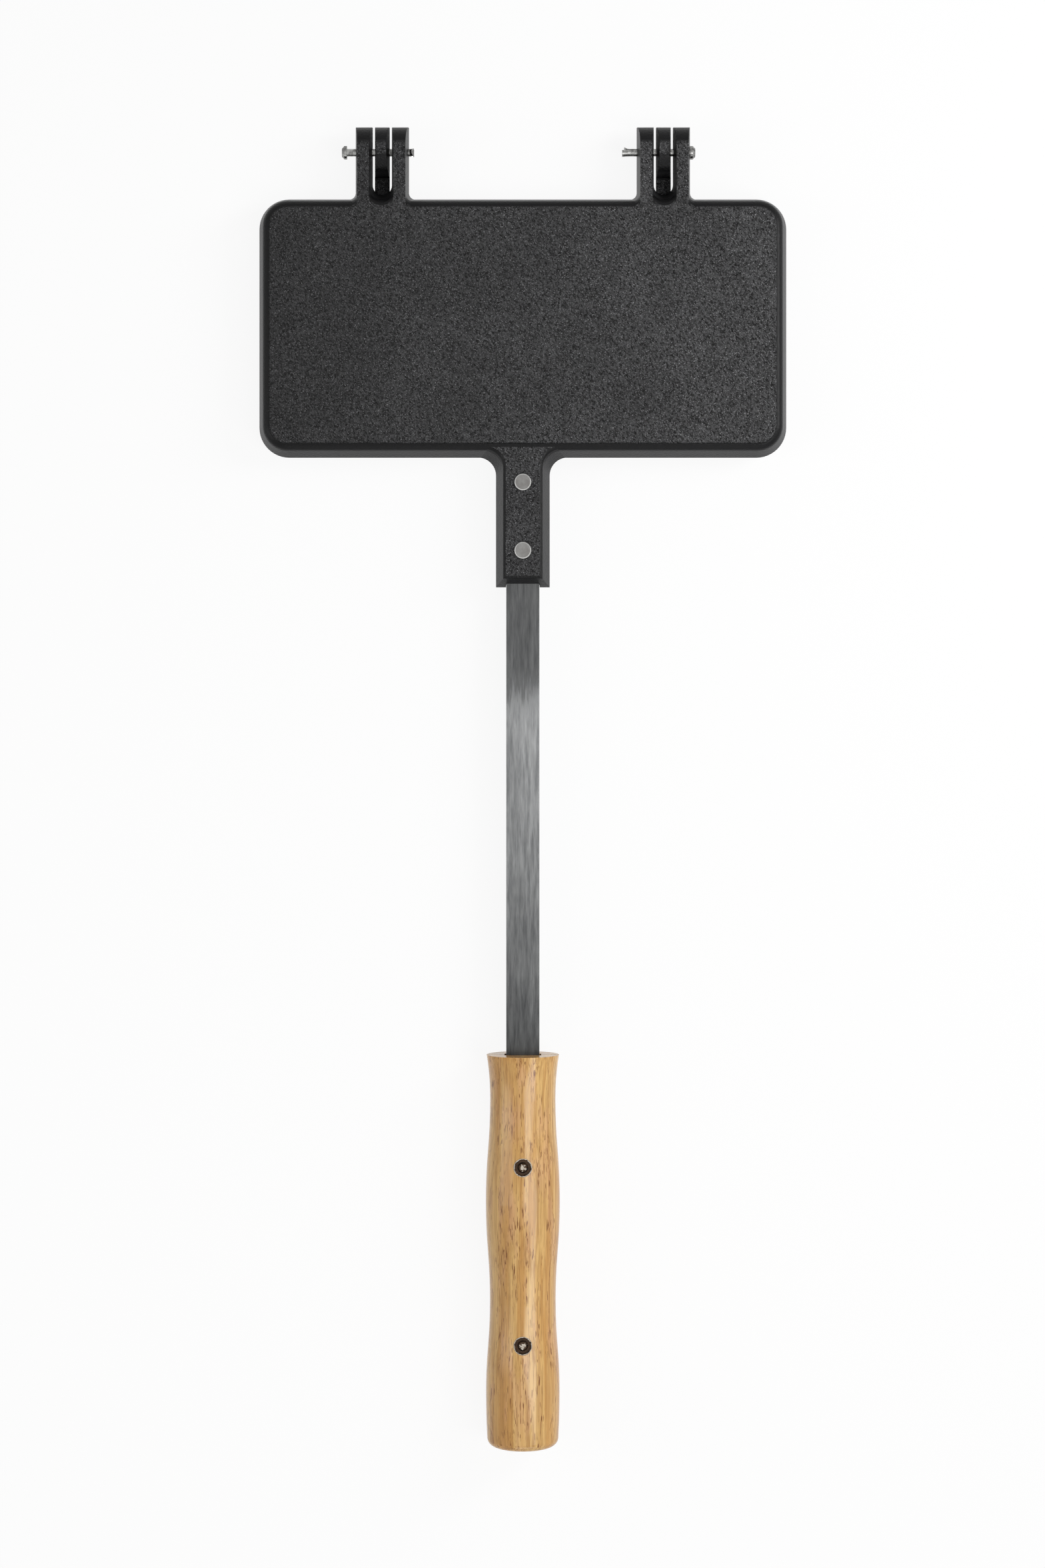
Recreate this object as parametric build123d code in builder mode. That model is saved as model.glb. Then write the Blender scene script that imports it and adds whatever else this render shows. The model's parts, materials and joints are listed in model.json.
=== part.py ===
from build123d import *
from math import cos, radians, sin, sqrt, tan
import os

os.makedirs("parts", exist_ok=True)

# A hinged campfire toasting iron, lying closed on its lower half.
# X runs across the plates, Y runs along the handles towards the hinge, Z is up.
# Lengths are in millimetres and angles in degrees.

# Cast plates, sized at the parting plane where the two halves meet
plate_width = 255.0
plate_length = 125.0
plate_corner_radius = 14.5
half_thickness = 12.0
plate_draft = 15.0
plate_edge_rounding = 4.7

# Toast pockets, one pair in each plate
rim_width = 6.0
divider_width = 6.0
pocket_floor = 3.5
pocket_corner_radius = 10.0
pocket_draft = 15.0
pocket_floor_rounding = 3.0

# Hinge ears and their pin
hinge_spacing = 136.0
hinge_reach = 22.6
fork_width = 25.8
slot_width = 9.2
slot_web = 2.2
center_ear_width = 7.2
ear_draft = 6.0
ear_root_radius = 3.2
eye_neck_radius = 1.5
pin_diameter = 3.6
pin_clearance = 0.1

# Split hinge pins
pin_spare_length = 7.2
pin_head_diameter = 6.5
pin_head_height = 2.4
pin_head_chamfer = 1.2
pin_split_length = 14.0
pin_split_width = 0.5
pin_leg_bend_radius = 3.0
pin_stop_clearance = 0.2
left_pin_play = 4.2
left_pin_turn = 90.0
left_pin_leg_angles = (50.0, 50.0)
right_pin_play = 3.3
right_pin_turn = -50.0
right_pin_leg_angles = (4.0, 60.0)

# Tang that carries the handle bar
tang_width = 26.0
tang_length = 62.7
tang_step = 1.0
tang_draft = 19.0
tang_root_radius = 8.75
tang_edge_rounding = 1.4

# Flat steel bars, each set back a little from the parting plane
bar_width = 16.0
bar_thickness = 4.0
bar_edge_rounding = 0.4
bar_exposed = 226.0
bar_in_tang = 57.0
bar_in_grip = 152.0
bar_side_clearance = 0.15
bar_end_clearance = 0.5
parting_relief = 0.25

# Wooden grip, turned as one piece and sawn in two; stations run down from its mouth
grip_length = 189.0
grip_mouth_radius = 17.5
grip_neck_radius = 15.8
grip_neck_station = 21.0
grip_belly_radius = 17.9
grip_belly_station = 71.0
grip_waist_radius = 15.9
grip_waist_station = 119.0
grip_heel_radius = 17.8
grip_heel_station = 163.0
grip_end_radius = 17.0
grip_end_rounding = 4.0
grip_groove_clearance = 0.9

# Rivets through tang and bar; stations run down from the edge of the plate
tang_rivet_stations = (12.9, 45.7)
tang_rivet_head_diameter = 8.0
tang_rivet_head_height = 0.9
tang_rivet_head_chamfer = 0.25
tang_rivet_diameter = 4.8
tang_rivet_sink_diameter = 7.6

# Rivets through bar and grip, each closed over a cup washer in a counterbore
grip_rivet_stations = (52.6, 137.9)
grip_rivet_diameter = 4.0
grip_rivet_sink_diameter = 7.0
grip_rivet_end_diameter = 5.0
grip_rivet_end_height = 0.9
grip_rivet_end_chamfer = 0.6
washer_diameter = 8.8
washer_thickness = 0.7
washer_depth = 1.9
washer_wall = 0.45
washer_below_crown = 0.2
counterbore_clearance = 0.05
rivet_clearance = 0.05
sink_angle = 90.0

# Least step between two sections of a limb or a slot
level_spacing = 0.1

# Places that follow from the sizes above
overall_length = half_thickness + hinge_reach + plate_length + tang_length + bar_exposed + grip_length
parting_height = max(grip_belly_radius, grip_heel_radius, half_thickness)
pin_y = overall_length / 2 - half_thickness
plate_top_y = pin_y - hinge_reach
plate_center_y = plate_top_y - plate_length / 2
plate_bottom_y = plate_top_y - plate_length
tang_end_y = plate_bottom_y - tang_length
bar_top_y = tang_end_y + bar_in_tang
grip_top_y = tang_end_y - bar_exposed
bar_bottom_y = grip_top_y - bar_in_grip
hinge_x = hinge_spacing / 2
bore_radius = pin_diameter / 2 + pin_clearance
pin_length = fork_width + pin_spare_length
bar_back = parting_relief
bar_face = bar_back + bar_thickness
tang_height = half_thickness - tang_step
tang_rivet_places = [plate_bottom_y - station for station in tang_rivet_stations]

parting = Plane.XY.offset(parting_height)
plate_plane = Plane((0, plate_center_y, parting_height))


def edge_inset(height, top_height, draft, rounding):
    """How far a drafted wall with a rounded top edge has drawn in at a height over the parting plane."""
    tangent_height = top_height - rounding * (1 - sin(radians(draft)))
    if height <= tangent_height:
        return height * tan(radians(draft))
    rise = height - top_height + rounding
    turned = sqrt(max(rounding**2 - rise**2, 0))
    return tangent_height * tan(radians(draft)) + rounding * cos(radians(draft)) - turned


def edge_heights(top_height, draft, rounding):
    """Heights that cut the rounding of a wall's top edge into equal turns."""
    steps = 4
    turns = [draft + (90 - draft) * step / steps for step in range(steps + 1)]
    return [top_height - rounding * (1 - sin(radians(turn))) for turn in turns]


def plate_inset(height):
    """How far the plate's own wall has drawn in at a height over the parting plane."""
    return edge_inset(height, half_thickness, plate_draft, plate_edge_rounding)


def levels_up_to(top_height, *edges):
    """Rising heights from the parting plane to top_height that follow each of the rounded edges."""
    levels = [0.0]
    for height in sorted(height for edge in edges for height in edge):
        if levels[-1] + level_spacing < height < top_height - level_spacing:
            levels.append(height)
    return levels + [top_height]


def flared_limb(foot_plane, half_width, length, draft, end_draft, root_radius, top_height, rounding):
    """Drafted limb that stands out from the plate's edge, its root flared at every height."""
    root_embed = rim_width / 2
    foot_sink = 0.1
    foot_margin = 0.5
    plate_edge = edge_heights(half_thickness, plate_draft, plate_edge_rounding)
    limb_edge = edge_heights(top_height, draft, rounding)
    with BuildPart(mode=Mode.PRIVATE) as limb:
        for height in levels_up_to(top_height, plate_edge, limb_edge):
            inset = plate_inset(height)
            half = half_width - edge_inset(height, top_height, draft, rounding)
            tip = length - edge_inset(height, top_height, end_draft, rounding)
            foot = half + root_radius + foot_margin
            with BuildSketch(foot_plane.offset(height)) as section:
                with BuildLine():
                    Polyline(
                        (half, tip),
                        (half, -inset - foot_sink),
                        (foot, -inset - foot_sink),
                        (foot, -inset - root_embed),
                        (-foot, -inset - root_embed),
                        (-foot, -inset - foot_sink),
                        (-half, -inset - foot_sink),
                        (-half, tip),
                        close=True,
                    )
                make_face()
                roots = section.vertices().group_by(Axis.Y)[1].sort_by(lambda vertex: abs(vertex.X))[:2]
                fillet(roots, root_radius)
        loft(ruled=True)
    return limb.part


def hinge_eye(x, width):
    """Arm and full round eye of one hinge leaf, as wide as given, with the bore for the pin."""
    foot_plane = Plane((x, plate_top_y, parting_height))
    side_plane = Plane((x, pin_y, parting_height), x_dir=(0, 1, 0), z_dir=(1, 0, 0))
    eye_radius = half_thickness
    with BuildPart(mode=Mode.PRIVATE) as leaf:
        add(flared_limb(
            foot_plane, width / 2, hinge_reach + eye_radius, ear_draft, 0, ear_root_radius, half_thickness, 0
        ))
        with BuildSketch(Plane((x, pin_y, parting_height), z_dir=(0, 0, -1))):
            Rectangle(width, 3 * eye_radius)
        extrude(amount=eye_radius, taper=ear_draft)
        with BuildSketch(side_plane) as side_profile:
            arm_length = hinge_reach + plate_inset(half_thickness) + rim_width
            with Locations((-arm_length, 0)):
                Rectangle(arm_length, eye_radius, align=(Align.MIN, Align.MIN))
            Circle(eye_radius)
            neck = side_profile.vertices().filter_by(lambda vertex: abs(vertex.X + eye_radius) < 0.01)
            fillet(neck, eye_neck_radius)
        extrude(amount=width + 2 * ear_root_radius, both=True, mode=Mode.INTERSECT)
        with BuildSketch(side_plane):
            Circle(bore_radius)
        extrude(amount=width, both=True, mode=Mode.SUBTRACT)
    return leaf.part


def fork_slot(x):
    """Round-bottomed slot that parts a fork into its two ears, wider towards the outer face."""
    foot_plane = Plane((x, plate_top_y, parting_height))
    reach = hinge_reach + 2 * half_thickness
    with BuildPart(mode=Mode.PRIVATE) as slot:
        plate_edge = edge_heights(half_thickness, plate_draft, plate_edge_rounding)
        for height in levels_up_to(half_thickness, plate_edge):
            half = slot_width / 2 + height * tan(radians(ear_draft))
            floor = slot_web * (1 - height / half_thickness) - plate_inset(height)
            with BuildSketch(foot_plane.offset(height)):
                with Locations((0, floor + half)):
                    Rectangle(2 * half, reach, align=(Align.CENTER, Align.MIN))
                    Circle(half)
        loft(ruled=True)
        with BuildSketch(Plane((x, pin_y, parting_height), z_dir=(0, 0, -1))):
            Rectangle(slot_width, 3 * half_thickness)
        extrude(amount=2 * half_thickness, taper=-ear_draft)
    return slot.part


def toast_pockets():
    """Two square pockets side by side, open at the parting plane."""
    pocket_width = (plate_width - 2 * rim_width - divider_width) / 2
    pocket_length = plate_length - 2 * rim_width
    with BuildPart(mode=Mode.PRIVATE) as pockets:
        with BuildSketch(plate_plane):
            with GridLocations(pocket_width + divider_width, 0, 2, 1):
                RectangleRounded(pocket_width, pocket_length, pocket_corner_radius)
        extrude(amount=half_thickness - pocket_floor, taper=pocket_draft)
        fillet(pockets.faces().group_by(Axis.Z)[-1].edges(), pocket_floor_rounding)
    return pockets.part


def cast_half():
    """What both castings share: the plate, its tang and the channel for the bar."""
    tang_plane = Plane((0, plate_bottom_y, parting_height), x_dir=(-1, 0, 0), z_dir=(0, 0, 1))
    with BuildPart(mode=Mode.PRIVATE) as half:
        with BuildSketch(plate_plane):
            RectangleRounded(plate_width, plate_length, plate_corner_radius)
        extrude(amount=half_thickness, taper=plate_draft)
        fillet(half.faces().sort_by(Axis.Z)[-1].edges(), plate_edge_rounding)
        add(flared_limb(
            tang_plane, tang_width / 2, tang_length, tang_draft, tang_draft, tang_root_radius, tang_height,
            tang_edge_rounding,
        ))
        add(toast_pockets(), mode=Mode.SUBTRACT)
        channel_length = bar_in_tang + bar_end_clearance
        with BuildSketch(Plane((0, tang_end_y, parting_height))):
            Rectangle(bar_width + 2 * bar_side_clearance, 2 * channel_length)
        extrude(amount=bar_face, mode=Mode.SUBTRACT)
        with Locations(*[Plane((0, y, parting_height + tang_height)) for y in tang_rivet_places]):
            Hole(tang_rivet_diameter / 2 + rivet_clearance)
    return half.part


def split_pin(bend_start, leg_angles):
    """Round-headed pin along X from under its head, its split end opened by the two angles."""
    shank_radius = pin_diameter / 2
    head_radius = pin_head_diameter / 2
    split_start = pin_length - pin_split_length
    with BuildPart(mode=Mode.PRIVATE) as pin:
        with BuildSketch():
            with BuildLine():
                Polyline(
                    (bend_start, 0),
                    (bend_start, shank_radius),
                    (0, shank_radius),
                    (0, head_radius),
                    (pin_head_chamfer - pin_head_height, head_radius),
                    (-pin_head_height, head_radius - pin_head_chamfer),
                    (-pin_head_height, 0),
                    close=True,
                )
            make_face()
        revolve(axis=Axis.X)
        with BuildSketch():
            with Locations((split_start, 0)):
                Rectangle(2 * pin_length, pin_split_width, align=(Align.MIN, Align.CENTER))
        extrude(amount=pin_diameter, both=True, mode=Mode.SUBTRACT)
        for side, angle in zip((1, -1), leg_angles):
            with BuildLine(mode=Mode.PRIVATE) as route:
                bend = JernArc((bend_start, 0), (1, 0), pin_leg_bend_radius, side * angle)
                leg_end = pin_length - bend_start - bend.length
                Line(bend @ 1, bend @ 1 + leg_end * (bend % 1))
            with BuildSketch(Plane((bend_start, 0, 0), x_dir=(0, side, 0), z_dir=(1, 0, 0))):
                Circle(shank_radius)
                with Locations((pin_split_width / 2, 0)):
                    Rectangle(
                        shank_radius, pin_diameter, align=(Align.MIN, Align.CENTER), mode=Mode.INTERSECT
                    )
            sweep(path=route.line)
    return pin.part


def grip_crown(y):
    """Radius of the grip at a place along it."""
    level = Axis((0, y, 0), (1, 0, 0))
    crossings = [point for arc in grip_outline.edges() for point in arc.find_intersection_points(level)]
    return -min(point.X for point in crossings)


# Outline of the grip from its mouth down, in arcs that meet with one tangent
grip_turns = [
    (-grip_neck_radius, grip_top_y - grip_neck_station),
    (-grip_belly_radius, grip_top_y - grip_belly_station),
    (-grip_waist_radius, grip_top_y - grip_waist_station),
    (-grip_heel_radius, grip_top_y - grip_heel_station),
]
with BuildLine() as grip_outline:
    TangentArc(grip_turns[0], (-grip_mouth_radius, grip_top_y), tangent=(0, 1))
    for (upper_x, upper_y), (lower_x, lower_y) in zip(grip_turns, grip_turns[1:]):
        middle = ((upper_x + lower_x) / 2, (upper_y + lower_y) / 2)
        upper_arc = TangentArc((upper_x, upper_y), middle, tangent=(0, -1))
        TangentArc(middle, (lower_x, lower_y), tangent=upper_arc % 1)
    TangentArc(grip_turns[-1], (-grip_end_radius, grip_top_y - grip_length), tangent=(0, -1))

grip_rivet_places = [grip_top_y - station for station in grip_rivet_stations]
washer_rims = [grip_crown(y) - washer_below_crown for y in grip_rivet_places]

# The two castings: a fork of two ears on the upper half, one ear between them on the lower
with BuildPart() as upper_plate:
    add(cast_half())
    for x in (-hinge_x, hinge_x):
        add(hinge_eye(x, fork_width))
        add(fork_slot(x), mode=Mode.SUBTRACT)
upper_plate.part.label = "upper_plate"
export_step(upper_plate.part, "parts/upper_plate.step")

with BuildPart() as raised_lower_plate:
    add(cast_half())
    for x in (-hinge_x, hinge_x):
        add(hinge_eye(x, center_ear_width))

with BuildPart() as lower_plate:
    mirror(raised_lower_plate.part, about=parting)
lower_plate.part.label = "lower_plate"
export_step(lower_plate.part, "parts/lower_plate.step")

# Handle bar, sunk for the rivets on the side that faces its twin
with BuildPart() as upper_bar:
    bar_length = bar_top_y - bar_bottom_y
    with BuildSketch(Plane((0, bar_bottom_y, parting_height + bar_back))):
        Rectangle(bar_width, bar_length, align=(Align.CENTER, Align.MIN))
    extrude(amount=bar_thickness)
    fillet(upper_bar.edges().filter_by(Axis.Y), bar_edge_rounding)
    back_height = parting_height + bar_back
    with Locations(*[Plane((0, y, back_height), z_dir=(0, 0, -1)) for y in tang_rivet_places]):
        CounterSinkHole(
            tang_rivet_diameter / 2 + rivet_clearance,
            tang_rivet_sink_diameter / 2,
            counter_sink_angle=sink_angle,
        )
    with Locations(*[Plane((0, y, back_height), z_dir=(0, 0, -1)) for y in grip_rivet_places]):
        CounterSinkHole(
            grip_rivet_diameter / 2 + rivet_clearance,
            grip_rivet_sink_diameter / 2,
            counter_sink_angle=sink_angle,
        )
upper_bar.part.label = "upper_bar"
export_step(upper_bar.part, "parts/upper_bar.step")

with BuildPart() as lower_bar:
    mirror(upper_bar.part, about=parting)
lower_bar.part.label = "lower_bar"
export_step(lower_bar.part, "parts/lower_bar.step")

# Half of the turned grip, grooved for the bar and counterbored for the washers
with BuildPart() as upper_grip:
    with BuildSketch(parting) as grip_profile:
        with BuildLine():
            add(grip_outline)
            Polyline(
                (-grip_end_radius, grip_top_y - grip_length),
                (0, grip_top_y - grip_length),
                (0, grip_top_y),
                (-grip_mouth_radius, grip_top_y),
            )
        make_face()
        heel = grip_profile.vertices().sort_by(Axis.Y)[:2].sort_by(Axis.X)[0]
        fillet(heel, grip_end_rounding)
    revolve(axis=Axis((0, 0, parting_height), (0, 1, 0)), revolution_arc=180)
    with BuildSketch(parting):
        with Locations((0, grip_top_y - grip_length / 2)):
            Rectangle(3 * grip_belly_radius, 2 * grip_length)
    extrude(amount=parting_relief, mode=Mode.SUBTRACT)
    with BuildSketch(parting):
        with Locations((0, grip_top_y)):
            Rectangle(bar_width + 2 * grip_groove_clearance, 2 * (bar_in_grip + bar_end_clearance))
    extrude(amount=bar_face, mode=Mode.SUBTRACT)
    for y, rim in zip(grip_rivet_places, washer_rims):
        with Locations(Plane((0, y, parting_height + 2 * grip_belly_radius))):
            CounterBoreHole(
                grip_rivet_diameter / 2 + rivet_clearance,
                washer_diameter / 2 + counterbore_clearance,
                2 * grip_belly_radius - rim + washer_depth,
            )
upper_grip.part.label = "upper_grip"
export_step(upper_grip.part, "parts/upper_grip.step")

with BuildPart() as lower_grip:
    mirror(upper_grip.part, about=parting)
lower_grip.part.label = "lower_grip"
export_step(lower_grip.part, "parts/lower_grip.step")

# Rivets that hold each bar in its tang, closed flush in the bar
for number, y in enumerate(tang_rivet_places, start=1):
    with BuildPart() as upper_rivet:
        with BuildSketch(Plane((0, y, parting_height), x_dir=(1, 0, 0), z_dir=(0, -1, 0))):
            with BuildLine():
                shank = tang_rivet_diameter / 2
                sink = tang_rivet_sink_diameter / 2 - rivet_clearance
                head = tang_rivet_head_diameter / 2
                head_top = tang_height + tang_rivet_head_height
                Polyline(
                    (0, bar_back),
                    (sink, bar_back),
                    (shank, bar_back + (sink - shank) / tan(radians(sink_angle / 2))),
                    (shank, tang_height),
                    (head, tang_height),
                    (head, head_top - tang_rivet_head_chamfer),
                    (head - tang_rivet_head_chamfer, head_top),
                    (0, head_top),
                    close=True,
                )
            make_face()
        revolve(axis=Axis((0, y, 0), (0, 0, 1)))
    upper_rivet.part.label = f"upper_tang_rivet_{number}"
    export_step(upper_rivet.part, f"parts/upper_tang_rivet_{number}.step")
    with BuildPart() as lower_rivet:
        mirror(upper_rivet.part, about=parting)
    lower_rivet.part.label = f"lower_tang_rivet_{number}"
    export_step(lower_rivet.part, f"parts/lower_tang_rivet_{number}.step")

# Grip rivets, sunk flush in the bar and closed over the floor of a cup washer
for number, (y, rim) in enumerate(zip(grip_rivet_places, washer_rims), start=1):
    seat = rim - washer_depth
    floor = seat + washer_thickness
    with BuildPart() as upper_washer:
        with BuildSketch(Plane((0, y, parting_height + seat))):
            Circle(washer_diameter / 2)
        extrude(amount=washer_depth)
        with BuildSketch(Plane((0, y, parting_height + floor))):
            Circle(washer_diameter / 2 - washer_wall)
        extrude(amount=washer_depth, mode=Mode.SUBTRACT)
        with BuildSketch(Plane((0, y, parting_height + seat))):
            Circle(grip_rivet_diameter / 2 + rivet_clearance)
        extrude(amount=washer_depth, mode=Mode.SUBTRACT)
    upper_washer.part.label = f"upper_grip_washer_{number}"
    export_step(upper_washer.part, f"parts/upper_grip_washer_{number}.step")
    with BuildPart() as lower_washer:
        mirror(upper_washer.part, about=parting)
    lower_washer.part.label = f"lower_grip_washer_{number}"
    export_step(lower_washer.part, f"parts/lower_grip_washer_{number}.step")

    with BuildPart() as upper_rivet:
        with BuildSketch(Plane((0, y, parting_height), x_dir=(1, 0, 0), z_dir=(0, -1, 0))):
            with BuildLine():
                shank = grip_rivet_diameter / 2
                sink = grip_rivet_sink_diameter / 2 - rivet_clearance
                end = grip_rivet_end_diameter / 2
                end_top = floor + grip_rivet_end_height
                Polyline(
                    (0, bar_back),
                    (sink, bar_back),
                    (shank, bar_back + (sink - shank) / tan(radians(sink_angle / 2))),
                    (shank, floor),
                    (end, floor),
                    (end, end_top - grip_rivet_end_chamfer),
                    (end - grip_rivet_end_chamfer, end_top),
                    (0, end_top),
                    close=True,
                )
            make_face()
        revolve(axis=Axis((0, y, 0), (0, 0, 1)))
    upper_rivet.part.label = f"upper_grip_rivet_{number}"
    export_step(upper_rivet.part, f"parts/upper_grip_rivet_{number}.step")
    with BuildPart() as lower_rivet:
        mirror(upper_rivet.part, about=parting)
    lower_rivet.part.label = f"lower_grip_rivet_{number}"
    export_step(lower_rivet.part, f"parts/lower_grip_rivet_{number}.step")

# Hinge pins, headed at the outer end of each fork; the left one stands drawn out by its play
far_ear = pin_stop_clearance + fork_width
left_head = Plane((-hinge_x - fork_width / 2 - left_pin_play, pin_y, parting_height))
left_head = left_head.rotated((left_pin_turn, 0, 0))
with BuildPart() as hinge_pin_left:
    add(split_pin(far_ear + left_pin_play, left_pin_leg_angles).moved(left_head.location))
hinge_pin_left.part.label = "hinge_pin_left"
export_step(hinge_pin_left.part, "parts/hinge_pin_left.step")

right_head = Plane(
    (hinge_x + fork_width / 2 + pin_clearance, pin_y, parting_height), x_dir=(-1, 0, 0), z_dir=(0, 0, 1)
)
right_head = right_head.rotated((right_pin_turn, 0, 0))
with BuildPart() as hinge_pin_right:
    add(split_pin(far_ear + right_pin_play, right_pin_leg_angles).moved(right_head.location))
hinge_pin_right.part.label = "hinge_pin_right"
export_step(hinge_pin_right.part, "parts/hinge_pin_right.step")
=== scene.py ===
import bpy
import json
import math
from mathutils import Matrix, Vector


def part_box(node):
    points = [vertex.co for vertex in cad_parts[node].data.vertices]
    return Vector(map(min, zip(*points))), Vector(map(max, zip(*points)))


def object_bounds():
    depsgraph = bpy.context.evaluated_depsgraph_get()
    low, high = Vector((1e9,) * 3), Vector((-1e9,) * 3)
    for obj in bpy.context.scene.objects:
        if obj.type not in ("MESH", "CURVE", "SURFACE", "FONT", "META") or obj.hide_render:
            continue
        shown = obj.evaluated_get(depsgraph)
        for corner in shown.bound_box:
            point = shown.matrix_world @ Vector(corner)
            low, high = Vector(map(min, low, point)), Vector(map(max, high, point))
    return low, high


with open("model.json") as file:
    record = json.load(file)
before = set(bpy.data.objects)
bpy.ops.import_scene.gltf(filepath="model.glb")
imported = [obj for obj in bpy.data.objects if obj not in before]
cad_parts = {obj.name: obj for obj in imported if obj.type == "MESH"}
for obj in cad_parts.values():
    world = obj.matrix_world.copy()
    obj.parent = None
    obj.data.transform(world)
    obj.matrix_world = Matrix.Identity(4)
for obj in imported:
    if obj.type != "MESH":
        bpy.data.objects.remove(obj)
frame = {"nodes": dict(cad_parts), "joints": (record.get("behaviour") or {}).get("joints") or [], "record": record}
cadLow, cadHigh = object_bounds()
nodes = frame["nodes"]
scene = bpy.context.scene
print("frame loaded:", len(nodes), "nodes")

# Places read from the frame, in metres
plateLow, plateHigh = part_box("upper_plate")
gripLow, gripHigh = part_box("upper_grip")
partingZ = frame["joints"][0]["pos_m"][2]
pinY = frame["joints"][0]["pos_m"][1]


# Shader helpers

noiseSpan = (0.3, 0.7)   # nearly all values of a noise lie in here
noiseMiddle = 0.5
smoothNoise = (1.0, 0.5)   # detail and roughness
softNoise = (2.0, 0.5)
raggedNoise = (3.0, 0.6)


def newMaterial(name):
    mat = bpy.data.materials.new(name)
    mat.use_nodes = True
    mat.node_tree.nodes.clear()
    return mat, mat.node_tree


def addNode(tree, kind, spot=(0, 0), **values):
    node = tree.nodes.new(kind)
    node.location = spot
    for key, value in values.items():
        if key in node.inputs:
            node.inputs[key].default_value = value
        else:
            setattr(node, key, value)
    return node


def feed(tree, socket, value):
    if isinstance(value, (int, float, tuple)):
        socket.default_value = value
    else:
        tree.links.new(value, socket)


def calc(tree, operation, first, second=0.0, spot=(0, 0)):
    node = addNode(tree, "ShaderNodeMath", spot, operation=operation)
    feed(tree, node.inputs[0], first)
    feed(tree, node.inputs[1], second)
    return node.outputs[0]


def mapRange(tree, value, fromMin, fromMax, toMin, toMax, spot=(0, 0), smooth=False):
    node = addNode(tree, "ShaderNodeMapRange", spot)
    node.interpolation_type = "SMOOTHSTEP" if smooth else "LINEAR"
    tree.links.new(value, node.inputs["Value"])
    for key, number in (("From Min", fromMin), ("From Max", fromMax), ("To Min", toMin), ("To Max", toMax)):
        node.inputs[key].default_value = number
    return node.outputs["Result"]


def mixColor(tree, factor, first, second, spot=(0, 0)):
    node = addNode(tree, "ShaderNodeMix", spot, data_type="RGBA")
    for socket, value in ((node.inputs[0], factor), (node.inputs[6], first), (node.inputs[7], second)):
        feed(tree, socket, value)
    return node.outputs[2]


def scaleBy(tree, vector, factor, spot=(0, 0)):
    node = addNode(tree, "ShaderNodeVectorMath", spot, operation="SCALE")
    tree.links.new(vector, node.inputs[0])
    tree.links.new(factor, node.inputs["Scale"])
    return node.outputs[0]


def noiseAt(tree, vector, scale, detail, roughness, spot, distortion=0.0):
    node = addNode(tree, "ShaderNodeTexNoise", spot, Scale=scale, Detail=detail, Roughness=roughness,
                   Distortion=distortion)
    tree.links.new(vector, node.inputs["Vector"])
    return node.outputs["Fac"]


def stretched(tree, vector, scale, spot=(0, 0)):
    node = addNode(tree, "ShaderNodeMapping", spot, Scale=scale)
    tree.links.new(vector, node.inputs["Vector"])
    return node.outputs["Vector"]


def rgb(hexCode):
    parts = [int(hexCode[i:i + 2], 16) / 255 for i in (0, 2, 4)]
    return tuple(p / 12.92 if p <= 0.04045 else ((p + 0.055) / 1.055) ** 2.4 for p in parts) + (1.0,)


def finishMaterial(mat, tree, color, rough, height, bumpDistance, bumpStrength=1.0, **plain):
    bump = addNode(tree, "ShaderNodeBump", (0, -250), Strength=bumpStrength, Distance=bumpDistance)
    tree.links.new(height, bump.inputs["Height"])
    shader = addNode(tree, "ShaderNodeBsdfPrincipled", (250, 100))
    for name, value in plain.items():
        shader.inputs[name.replace("_", " ")].default_value = value
    tree.links.new(color, shader.inputs["Base Color"])
    feed(tree, shader.inputs["Roughness"], rough)
    tree.links.new(bump.outputs["Normal"], shader.inputs["Normal"])
    out = addNode(tree, "ShaderNodeOutputMaterial", (550, 100))
    tree.links.new(shader.outputs[0], out.inputs[0])
    return mat


# Node groups that several finishes share

def newGroup(name, inputs, outputs):
    group = bpy.data.node_groups.new(name, "ShaderNodeTree")
    for label, kind in inputs:
        group.interface.new_socket(name=label, in_out="INPUT", socket_type=kind)
    for label in outputs:
        group.interface.new_socket(name=label, in_out="OUTPUT", socket_type="NodeSocketFloat")
    return group, addNode(group, "NodeGroupInput", (-1000, 0)), addNode(group, "NodeGroupOutput", (700, 0))


broadStreaks = 0.18   # as many broad streaks as there are fine ones, times this


def buildStreakGroup():
    sockets = (("Vector", "NodeSocketVector"), ("Across", "NodeSocketFloat"), ("Along", "NodeSocketFloat"))
    group, source, sink = newGroup("lengthwiseStreaks", sockets, ("Fine", "Broad"))
    combine = addNode(group, "ShaderNodeCombineXYZ", (-500, -150))
    group.links.new(source.outputs["Across"], combine.inputs["X"])
    group.links.new(source.outputs["Along"], combine.inputs["Y"])
    group.links.new(source.outputs["Across"], combine.inputs["Z"])
    stretch = addNode(group, "ShaderNodeVectorMath", (-300, 0), operation="MULTIPLY")
    group.links.new(source.outputs["Vector"], stretch.inputs[0])
    group.links.new(combine.outputs[0], stretch.inputs[1])
    fine = noiseAt(group, stretch.outputs[0], 1.0, *raggedNoise, (0, 150))
    broad = noiseAt(group, stretch.outputs[0], broadStreaks, *softNoise, (0, -150))
    group.links.new(fine, sink.inputs["Fine"])
    group.links.new(broad, sink.inputs["Broad"])
    return group


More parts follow.
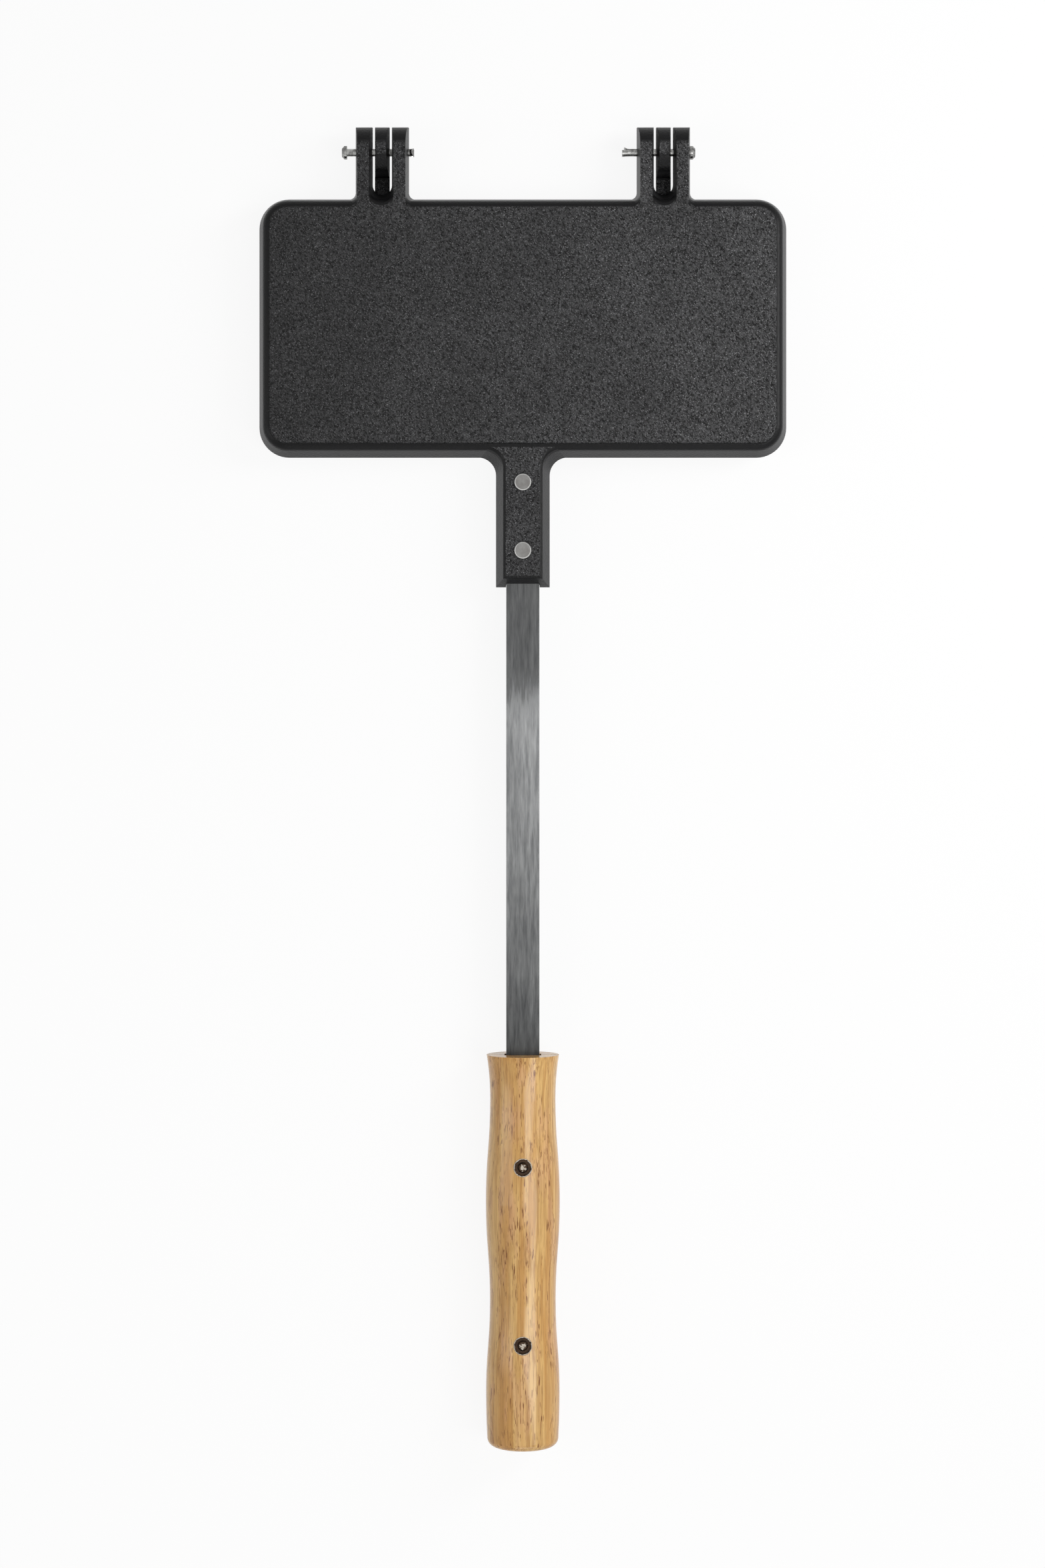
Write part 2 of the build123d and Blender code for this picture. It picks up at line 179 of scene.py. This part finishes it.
castSkin = {
    "faceBegins": (0.945, 0.993),    # how level a surface is: 1 is a flat face, 0 a plumb wall
    "wallBegins": (0.13, 0.25),
    "wallEnds": (0.36, 0.6),
    "wrinkleStretch": 1.7,
    "wrinkleLean": 33,               # degrees that the wrinkles lean to the left of upright
    "wrinkleNoise": (2.5, 0.6),
    "wrinkleWarp": 0.5,
    "gritScale": 2.1,                # times as fine as the wrinkles
    "ridgeShare": 0.7,
    "gritShare": 0.3,
    "crestSpan": (0.38, 0.62),
    "paintedGlintSpan": (0.62, 0.75),
    "blotchScale": 30.0,
    "wallRelief": 0.12,              # share of the face's relief
}


def buildCastGroup():
    sockets = (("Vector", "NodeSocketVector"), ("Normal", "NodeSocketVector"), ("Grain", "NodeSocketFloat"))
    results = ("Rough Face", "Wall", "Height", "Crest", "Painted Glint", "Blotch")
    group, source, sink = newGroup("sandCastSkin", sockets, results)
    parts = addNode(group, "ShaderNodeSeparateXYZ", (-800, -300))
    group.links.new(source.outputs["Normal"], parts.inputs[0])
    level = calc(group, "ABSOLUTE", parts.outputs["Z"], spot=(-620, -300))
    faceMask = mapRange(group, level, *castSkin["faceBegins"], 0.0, 1.0, (-440, -300), smooth=True)
    wallRise = mapRange(group, level, *castSkin["wallBegins"], 0.0, 1.0, (-440, -450), smooth=True)
    wallFall = mapRange(group, level, *castSkin["wallEnds"], 1.0, 0.0, (-440, -600), smooth=True)
    wallMask = calc(group, "MULTIPLY", wallRise, wallFall, (-240, -500))
    scaled = scaleBy(group, source.outputs["Vector"], source.outputs["Grain"], (-800, 100))
    slanted = addNode(group, "ShaderNodeMapping", (-620, 100), vector_type="TEXTURE",
                      Scale=(1.0, castSkin["wrinkleStretch"], 1.0),
                      Rotation=(0, 0, math.radians(castSkin["wrinkleLean"])))
    group.links.new(scaled, slanted.inputs["Vector"])
    ridges = noiseAt(group, slanted.outputs[0], 1.0, *castSkin["wrinkleNoise"], (-400, 300),
                     distortion=castSkin["wrinkleWarp"])
    grit = noiseAt(group, slanted.outputs[0], castSkin["gritScale"], *smoothNoise, (-400, 100))
    height = calc(group, "ADD", calc(group, "MULTIPLY", ridges, castSkin["ridgeShare"], (-200, 300)),
                  calc(group, "MULTIPLY", grit, castSkin["gritShare"], (-200, 100)), (0, 300))
    crest = mapRange(group, height, *castSkin["crestSpan"], 0.0, 1.0, (200, 300))
    # painted glints: the brightest grit becomes bright specks
    paintedGlint = mapRange(group, grit, *castSkin["paintedGlintSpan"], 0.0, 1.0, (0, 50), smooth=True)
    blotch = noiseAt(group, source.outputs["Vector"], castSkin["blotchScale"], *raggedNoise, (-200, -250))
    strength = mapRange(group, faceMask, 0.0, 1.0, castSkin["wallRelief"], 1.0, (0, -300))
    shaped = calc(group, "MULTIPLY", height, strength, (450, 300))
    for label, value in (("Rough Face", faceMask), ("Wall", wallMask), ("Height", shaped), ("Crest", crest),
                         ("Painted Glint", paintedGlint), ("Blotch", blotch)):
        group.links.new(value, sink.inputs[label])
    return group


# A ring mask around a round piece: it carries painted highlights along rims and the bare spot where the hammer
# struck
def buildWearAndHighlightRingGroup():
    sockets = [("Vector", "NodeSocketVector")]
    sockets += [(label, "NodeSocketFloat") for label in ("Centre Y", "Inner", "Outer", "Ragged", "Noise")]
    group, source, sink = newGroup("wearAndHighlightRing", sockets, ("Mask",))
    parts = addNode(group, "ShaderNodeSeparateXYZ", (-800, 100))
    group.links.new(source.outputs["Vector"], parts.inputs[0])
    along = calc(group, "SUBTRACT", parts.outputs["Y"], source.outputs["Centre Y"], (-620, 0))
    squares = calc(group, "ADD", calc(group, "MULTIPLY", parts.outputs["X"], parts.outputs["X"], (-450, 150)),
                   calc(group, "MULTIPLY", along, along, (-450, 0)), (-300, 100))
    centred = calc(group, "SUBTRACT", source.outputs["Noise"], noiseMiddle, (-450, -150))
    sway = calc(group, "MULTIPLY", centred, source.outputs["Ragged"], (-300, -100))
    radius = calc(group, "ADD", calc(group, "SQRT", squares, spot=(-150, 100)), sway, (0, 50))
    outside = calc(group, "GREATER_THAN", radius, source.outputs["Inner"], (150, 100))
    inside = calc(group, "LESS_THAN", radius, source.outputs["Outer"], (150, -50))
    group.links.new(calc(group, "MULTIPLY", outside, inside, (300, 50)), sink.inputs["Mask"])
    return group


streakGroup = buildStreakGroup()
castGroup = buildCastGroup()
wearAndHighlightRingGroup = buildWearAndHighlightRingGroup()


def useGroup(tree, group, spot, **values):
    node = addNode(tree, "ShaderNodeGroup", spot)
    node.node_tree = group
    for key, value in values.items():
        feed(tree, node.inputs[key], value)
    return node


# Seasoned cast iron: sandy on the flat faces, smoother and darker on walls, with painted shade on the roundings,
# painted glints on the grain and painted light growing towards the right

castIron = {
    "grain": 1150.0,             # lumps per metre
    "pitColor": rgb("060606"),
    "crestColor": rgb("4c4c4d"),
    # painted glints: bright specks that stand in for light caught by the grain
    "paintedGlintColor": rgb("858587"),
    "wallColor": rgb("212122"),
    # painted shade: roundings and plumb walls are painted near black
    "roundingShadeColor": rgb("080809"),
    "cloudTones": (0.85, 1.15),
    "paintedLightAcross": (0.72, 1.38),  # painted light: the faces are painted lighter towards the right, where the light falls
    "roughness": 0.36,
    "specular": 0.15,
    "bumpDistance": 0.0021,
}


def makeCastIron():
    mat, tree = newMaterial("castIron")
    coords = addNode(tree, "ShaderNodeTexCoord", (-900, 0))
    skin = useGroup(tree, castGroup, (-650, 0), Vector=coords.outputs["Object"],
                    Normal=coords.outputs["Normal"], Grain=castIron["grain"])
    grain = mixColor(tree, skin.outputs["Crest"], castIron["pitColor"], castIron["crestColor"], (-400, 300))
    # painted glints laid over the grain
    grain = mixColor(tree, skin.outputs["Painted Glint"], grain, castIron["paintedGlintColor"], (-250, 300))
    # walls take the wall colour, roundings and plumb walls the painted shade
    base = mixColor(tree, skin.outputs["Wall"], castIron["roundingShadeColor"], castIron["wallColor"], (-400, 100))
    base = mixColor(tree, skin.outputs["Rough Face"], base, grain, (-100, 200))
    cloud = mapRange(tree, skin.outputs["Blotch"], *noiseSpan, *castIron["cloudTones"], (-400, -150))
    parts = addNode(tree, "ShaderNodeSeparateXYZ", (-650, -350))
    tree.links.new(coords.outputs["Object"], parts.inputs[0])
    # painted light: the cast colour is scaled up from left to right across the plate
    paintedLight = mapRange(tree, parts.outputs["X"], plateLow.x, plateHigh.x, *castIron["paintedLightAcross"], (-400, -350))
    cloudAndPaintedLight = calc(tree, "MULTIPLY", cloud, paintedLight, (-200, -200))
    shown = scaleBy(tree, base, cloudAndPaintedLight, (0, 200))
    return finishMaterial(mat, tree, shown, castIron["roughness"], skin.outputs["Height"],
                          castIron["bumpDistance"], Specular_IOR_Level=castIron["specular"])


# Flat bar: dull rolled steel, with painted shade on the stretch next to the castings and a painted reflection that
# dies away towards the grip

barSteel = {
    "dark": rgb("646566"),
    "light": rgb("909191"),
    "paintedShadeEndsAt": 0.045,         # Y where the stretch of painted shade ends
    "paintedShadeRagged": 0.008,         # half the height of its ragged edge
    "paintedShadeTone": 0.41,
    "paintedReflectionAtGrip": 0.24,            # painted reflection: the painted shine dies away towards the grip
    "across": 700.0,             # streaks per metre
    "along": 62.0,
    "millSpan": (0.28, 0.72),
    "swaySpan": (0.35, 0.65),
    "cloudTones": (0.88, 1.12),
    "roughness": (0.46, 0.36),
    "bumpDistance": 0.00006,
    "bumpStrength": 0.6,
}


def makeBarSteel():
    mat, tree = newMaterial("barSteel")
    coords = addNode(tree, "ShaderNodeTexCoord", (-1200, 0))
    streak = useGroup(tree, streakGroup, (-950, 0), Vector=coords.outputs["Object"],
                      Across=barSteel["across"], Along=barSteel["along"])
    fine, broad = streak.outputs["Fine"], streak.outputs["Broad"]
    mill = mapRange(tree, fine, *barSteel["millSpan"], 0.0, 1.0, (-700, 150))
    base = mixColor(tree, mill, barSteel["dark"], barSteel["light"], (-300, 200))
    parts = addNode(tree, "ShaderNodeSeparateXYZ", (-950, -250))
    tree.links.new(coords.outputs["Object"], parts.inputs[0])
    ragged = barSteel["paintedShadeRagged"]
    sway = mapRange(tree, fine, *barSteel["swaySpan"], -ragged, ragged, (-700, -100))
    height = calc(tree, "ADD", parts.outputs["Y"], sway, (-500, -200))
    paintedShadeLow = barSteel["paintedShadeEndsAt"] - ragged
    paintedShadeHigh = barSteel["paintedShadeEndsAt"] + ragged
    # painted shade: the bar is painted darker next to the castings
    paintedShade = mapRange(tree, height, paintedShadeLow, paintedShadeHigh, 1.0, barSteel["paintedShadeTone"], (-300, -200), smooth=True)
    # painted reflection: brightest just below the painted shade, fading towards the grip
    paintedReflectionFade = mapRange(tree, parts.outputs["Y"], gripHigh.y, paintedShadeLow, barSteel["paintedReflectionAtGrip"], 1.0, (-300, -400))
    cloud = mapRange(tree, broad, *noiseSpan, *barSteel["cloudTones"], (-500, 0))
    toneAndPaintedLight = calc(tree, "MULTIPLY", calc(tree, "MULTIPLY", paintedShade, paintedReflectionFade, (-100, -200)), cloud, (0, -100))
    shown = scaleBy(tree, base, toneAndPaintedLight, (100, 200))
    rough = mapRange(tree, fine, *noiseSpan, *barSteel["roughness"], (0, 50))
    return finishMaterial(mat, tree, shown, rough, fine, barSteel["bumpDistance"], barSteel["bumpStrength"],
                          Metallic=1.0)


# Drawn steel of rivets and hinge pins; wear shows as brighter and duller patches, and the tang rivets get a
# painted highlight ring along the rim

wireSteel = {"patchSpan": (0.36, 0.64), "patchWarp": 0.4, "bumpDistance": 0.00003, "bumpStrength": 0.5}
pinSteel = {"bright": rgb("a3a3a1"), "dull": rgb("5f5e5d"), "cell": 420.0, "roughness": (0.2, 0.3)}
# the rim colour of the tang rivets is a painted highlight along the head's edge
tangRivetSteel = {"bright": rgb("858583"), "dull": rgb("716f6d"), "cell": 260.0, "roughness": (0.3, 0.38),
                  "rim": rgb("bcbcba"), "rimWidth": 0.0004, "rimRagged": 0.0004}


def makeWireSteel(name, steel, ring=None):
    mat, tree = newMaterial(name)
    coords = addNode(tree, "ShaderNodeTexCoord", (-900, 0))
    scuff = noiseAt(tree, coords.outputs["Object"], steel["cell"], *raggedNoise, (-650, 100),
                    distortion=wireSteel["patchWarp"])
    patch = mapRange(tree, scuff, *wireSteel["patchSpan"], 0.0, 1.0, (-450, 100))
    base = mixColor(tree, patch, steel["bright"], steel["dull"], (-200, 200))
    # painted highlight: a bright ring along the tang rivet's rim
    if ring:
        rimHighlightMask = useGroup(tree, wearAndHighlightRingGroup, (-450, -150), Vector=coords.outputs["Object"],
                        Noise=scuff, **ring)
        base = mixColor(tree, rimHighlightMask.outputs["Mask"], base, steel["rim"], (0, 200))
    rough = mapRange(tree, scuff, *noiseSpan, *steel["roughness"], (-200, 0))
    return finishMaterial(mat, tree, base, rough, scuff, wireSteel["bumpDistance"], wireSteel["bumpStrength"],
                          Metallic=1.0)


# Darkened cup washers and rivet ends, laid bare where the hammer struck, with a painted highlight along the
# washer's rim

agedSteel = {
    "dark": rgb("2a211b"),
    "warm": rgb("3d2d20"),
    "bareAndHighlight": rgb("9a9287"),
    "struckRadius": 0.0012,
    "struckRagged": 0.005,
    "rimWidth": 0.00035,
    "rimRagged": 0.0012,
    "cell": 1100.0,
    "patchSpan": (0.35, 0.65),
    "patchWarp": 0.5,
    "roughness": (0.32, 0.5),
    "metallic": 0.9,
    "bumpDistance": 0.00008,
    "bumpStrength": 0.7,
}


def makeAgedSteel(name, ring):
    mat, tree = newMaterial(name)
    coords = addNode(tree, "ShaderNodeTexCoord", (-1100, 0))
    rust = noiseAt(tree, coords.outputs["Object"], agedSteel["cell"], *softNoise, (-850, 100),
                   distortion=agedSteel["patchWarp"])
    patch = mapRange(tree, rust, *agedSteel["patchSpan"], 0.0, 1.0, (-650, 100))
    base = mixColor(tree, patch, agedSteel["dark"], agedSteel["warm"], (-400, 200))
    bareAndHighlight = useGroup(tree, wearAndHighlightRingGroup, (-650, -150), Vector=coords.outputs["Object"], Noise=rust, **ring)
    # bare metal where the hammer struck, and a painted highlight along the washer's rim
    base = mixColor(tree, bareAndHighlight.outputs["Mask"], base, agedSteel["bareAndHighlight"], (-150, 200))
    rough = mapRange(tree, rust, *noiseSpan, *agedSteel["roughness"], (-200, 0))
    return finishMaterial(mat, tree, base, rough, rust, agedSteel["bumpDistance"], agedSteel["bumpStrength"],
                          Metallic=agedSteel["metallic"])


# Lacquered open-pored hardwood

gripWood = {
    "light": rgb("d9b06e"),
    "middle": rgb("c4924f"),
    "dark": rgb("9a6932"),
    "pore": rgb("754415"),
    "blush": rgb("d8a684"),
    "bandScale": (190.0, 6.0, 110.0),      # lumps per metre across, along and through the grip
    "fineScale": (1100.0, 14.0, 1100.0),
    "poreScale": (2300.0, 150.0, 2300.0),
    "clumpScale": (210.0, 40.0, 210.0),
    "bandWarp": 0.5,
    "bandSpan": (0.38, 0.62),
    "fineSpan": (0.42, 0.7),
    "poreSpan": (0.6, 0.655),
    "clumpSpan": (0.4, 0.55),
    "blushSpan": (0.5, 0.72),
    "fineCover": 0.75,                     # the most that a layer hides of the ones before it
    "blushCover": 0.35,
    "poreCover": 0.95,
    "strayPores": 0.12,                    # share of the pores' strength between their clumps
    "roughness": (0.42, 0.55),
    "coat": 0.7,
    "coatRoughness": 0.17,
    "specular": 0.12,
    "bumpDistance": 0.00002,
    "bumpStrength": 0.3,
}


def makeGripWood():
    mat, tree = newMaterial("gripWood")
    place = addNode(tree, "ShaderNodeTexCoord", (-1500, 0)).outputs["Object"]
    bandSpace = stretched(tree, place, gripWood["bandScale"], (-1300, 300))
    bands = noiseAt(tree, bandSpace, 1.0, *raggedNoise, (-1100, 300), distortion=gripWood["bandWarp"])
    fineSpace = stretched(tree, place, gripWood["fineScale"], (-1300, 50))
    fine = noiseAt(tree, fineSpace, 1.0, *raggedNoise, (-1100, 50))
    poreSpace = stretched(tree, place, gripWood["poreScale"], (-1300, -200))
    pores = noiseAt(tree, poreSpace, 1.0, *smoothNoise, (-1100, -200))
    clumpSpace = stretched(tree, place, gripWood["clumpScale"], (-1300, -400))
    clumps = noiseAt(tree, clumpSpace, 1.0, *smoothNoise, (-1100, -400))
    bandMask = mapRange(tree, bands, *gripWood["bandSpan"], 0.0, 1.0, (-900, 300), smooth=True)
    fineMask = mapRange(tree, fine, *gripWood["fineSpan"], 0.0, gripWood["fineCover"], (-900, 50))
    poreCut = mapRange(tree, pores, *gripWood["poreSpan"], 0.0, 1.0, (-900, -200), smooth=True)
    clumpMask = mapRange(tree, clumps, *gripWood["clumpSpan"], gripWood["strayPores"], 1.0, (-900, -400),
                         smooth=True)
    poreMask = calc(tree, "MULTIPLY", poreCut, clumpMask, (-700, -250))
    blushMask = mapRange(tree, clumps, *gripWood["blushSpan"], 0.0, gripWood["blushCover"], (-700, -450),
                         smooth=True)
    base = mixColor(tree, bandMask, gripWood["light"], gripWood["middle"], (-650, 300))
    base = mixColor(tree, blushMask, base, gripWood["blush"], (-480, 300))
    base = mixColor(tree, fineMask, base, gripWood["dark"], (-320, 200))
    poreShade = calc(tree, "MULTIPLY", poreMask, gripWood["poreCover"], (-320, -150))
    base = mixColor(tree, poreShade, base, gripWood["pore"], (-150, 150))
    rough = mapRange(tree, fine, *noiseSpan, *gripWood["roughness"], (-100, -50))
    relief = calc(tree, "SUBTRACT", 1.0, poreMask, (-150, -250))
    return finishMaterial(mat, tree, base, rough, relief, gripWood["bumpDistance"], gripWood["bumpStrength"],
                          Coat_Weight=gripWood["coat"], Coat_Roughness=gripWood["coatRoughness"],
                          Specular_IOR_Level=gripWood["specular"])


finishes = {
    "casting": makeCastIron(),
    "bar_steel": makeBarSteel(),
    "rivet_steel": makeWireSteel("pinSteel", pinSteel),
    "grip_wood": makeGripWood(),
}


fromCentre = -1.0    # an inner radius in metres that leaves nothing out
wholePiece = 1.0     # an outer radius in metres that no piece reaches


def ringAt(node, innerGap, outer, ragged):
    # innerGap is measured in from the edge of the round piece; None takes in its centre too
    low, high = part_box(node)
    inner = fromCentre if innerGap is None else (high.x - low.x) / 2 - innerGap
    return {"Centre Y": (low.y + high.y) / 2, "Inner": inner, "Outer": outer, "Ragged": ragged}


ownFinishes = {}
for number in (1, 2):
    tangRing = ringAt(f"upper_tang_rivet_{number}", tangRivetSteel["rimWidth"], wholePiece,
                      tangRivetSteel["rimRagged"])
    # painted highlight along the washer's rim
    rimRing = ringAt(f"upper_grip_washer_{number}", agedSteel["rimWidth"], wholePiece, agedSteel["rimRagged"])
    struckSpot = ringAt(f"upper_grip_rivet_{number}", None, agedSteel["struckRadius"],
                        agedSteel["struckRagged"])
    shared = {
        f"tang_rivet_{number}": makeWireSteel(f"tangRivetSteel{number}", tangRivetSteel, tangRing),
        f"grip_washer_{number}": makeAgedSteel(f"cupWasherSteel{number}", rimRing),
        f"grip_rivet_{number}": makeAgedSteel(f"peenedSteel{number}", struckSpot),
    }
    for piece, finish in shared.items():
        ownFinishes[f"upper_{piece}"] = ownFinishes[f"lower_{piece}"] = finish
for entry in frame["record"]["subparts"]:
    name = entry["node"]
    for slotItem in nodes[name].material_slots:
        slotItem.material = ownFinishes.get(name) or finishes[entry["material_slot"]]
print("finishes given to the frame's nodes")


# Floor, light and camera

studio = {
    "cameraHeight": 1.355,        # over the parting plane
    "cameraX": -0.00016,
    "cameraY": 0.0012,
    "focalPixels": 4200.0,
    "photoHeight": 2352.0,
    "sensor": 36.0,
    "clip": (0.05, 20.0),
    "floorSize": 6.0,
    "floorSink": 0.0002,          # under the iron, so the two don't touch
    "floorColor": (0.86, 0.86, 0.86, 1),
    "floorWhite": 0.9,            # share of plain white that the camera sees in the floor
    "white": (1, 1, 1, 1),
    "worldLight": 0.24,
}


def seenDirectly(tree):
    # 1 on camera, glossy and transmission rays, the ones that see white around the iron
    rays = addNode(tree, "ShaderNodeLightPath", (-800, 200))
    seen = calc(tree, "MAXIMUM", rays.outputs["Is Camera Ray"], rays.outputs["Is Glossy Ray"], (-600, 200))
    return calc(tree, "MAXIMUM", seen, rays.outputs["Is Transmission Ray"], (-400, 200))


def addFloor():
    # The iron lies on its grip and its hinge, so the floor rises from the one to the other
    beltY = (gripLow.y + gripHigh.y) / 2
    tilt = math.atan2(plateLow.z - cadLow[2], pinY - beltY)
    bpy.ops.mesh.primitive_plane_add(size=studio["floorSize"])
    floor = bpy.context.object
    floor.name = "floor"
    floor.rotation_euler = (tilt, 0, 0)
    floor.location = (0, beltY, -studio["floorSink"])
    mat, tree = newMaterial("paleFloor")
    seen = seenDirectly(tree)
    diffuse = addNode(tree, "ShaderNodeBsdfDiffuse", (-400, 0), Color=studio["floorColor"])
    glow = addNode(tree, "ShaderNodeEmission", (-400, -150), Color=studio["white"], Strength=1.0)
    mix = addNode(tree, "ShaderNodeMixShader", (0, 0))
    tree.links.new(calc(tree, "MULTIPLY", seen, studio["floorWhite"], (-200, 200)), mix.inputs[0])
    tree.links.new(diffuse.outputs[0], mix.inputs[1])
    tree.links.new(glow.outputs[0], mix.inputs[2])
    out = addNode(tree, "ShaderNodeOutputMaterial", (200, 0))
    tree.links.new(mix.outputs[0], out.inputs[0])
    floor.data.materials.append(mat)


def addWorld():
    world = bpy.data.worlds.new("studioAir")
    scene.world = world
    world.use_nodes = True
    tree = world.node_tree
    tree.nodes.clear()
    strength = calc(tree, "MAXIMUM", seenDirectly(tree), studio["worldLight"], (-200, 100))
    back = addNode(tree, "ShaderNodeBackground", (0, 0), Color=studio["white"])
    tree.links.new(strength, back.inputs["Strength"])
    out = addNode(tree, "ShaderNodeOutputWorld", (200, 0))
    tree.links.new(back.outputs[0], out.inputs[0])


lamps = {
    "softRight": {"at": (0.64, -0.4, 1.45), "aim": (0.0, -0.1, 0.02), "size": (0.5, 1.1), "power": 9.0},
    "keyRight": {"at": (0.74, 0.35, 0.62), "aim": (0.05, 0.15, 0.02), "size": (0.3, 0.6), "power": 5.5},
    "fillLeft": {"at": (-1.25, -0.1, 0.9), "aim": (0, -0.1, 0.02), "size": (0.7, 1.2), "power": 5.5},
    "lowFront": {"at": (0.2, -1.5, 0.7), "aim": (0, 0.15, 0.02), "size": (1.2, 0.5), "power": 4.0},
}


def addLamps():
    for name, spec in lamps.items():
        data = bpy.data.lights.new(name, "AREA")
        data.shape = "RECTANGLE"
        data.size, data.size_y = spec["size"]
        data.energy = spec["power"]
        lamp = bpy.data.objects.new(name, data)
        lamp.location = spec["at"]
        lamp.rotation_euler = (Vector(spec["aim"]) - Vector(spec["at"])).to_track_quat("-Z", "Y").to_euler()
        scene.collection.objects.link(lamp)


def addCamera():
    data = bpy.data.cameras.new("photoCamera")
    data.sensor_fit = "VERTICAL"
    data.sensor_height = studio["sensor"]
    data.sensor_width = studio["sensor"]
    data.lens = studio["focalPixels"] / studio["photoHeight"] * studio["sensor"]
    data.clip_start, data.clip_end = studio["clip"]
    camera = bpy.data.objects.new("photoCamera", data)
    camera.location = (studio["cameraX"], studio["cameraY"], partingZ + studio["cameraHeight"])
    scene.collection.objects.link(camera)
    scene.camera = camera


addFloor()
addWorld()
addLamps()
addCamera()
scene.view_settings.view_transform = "Standard"
print("stage, light and camera set")
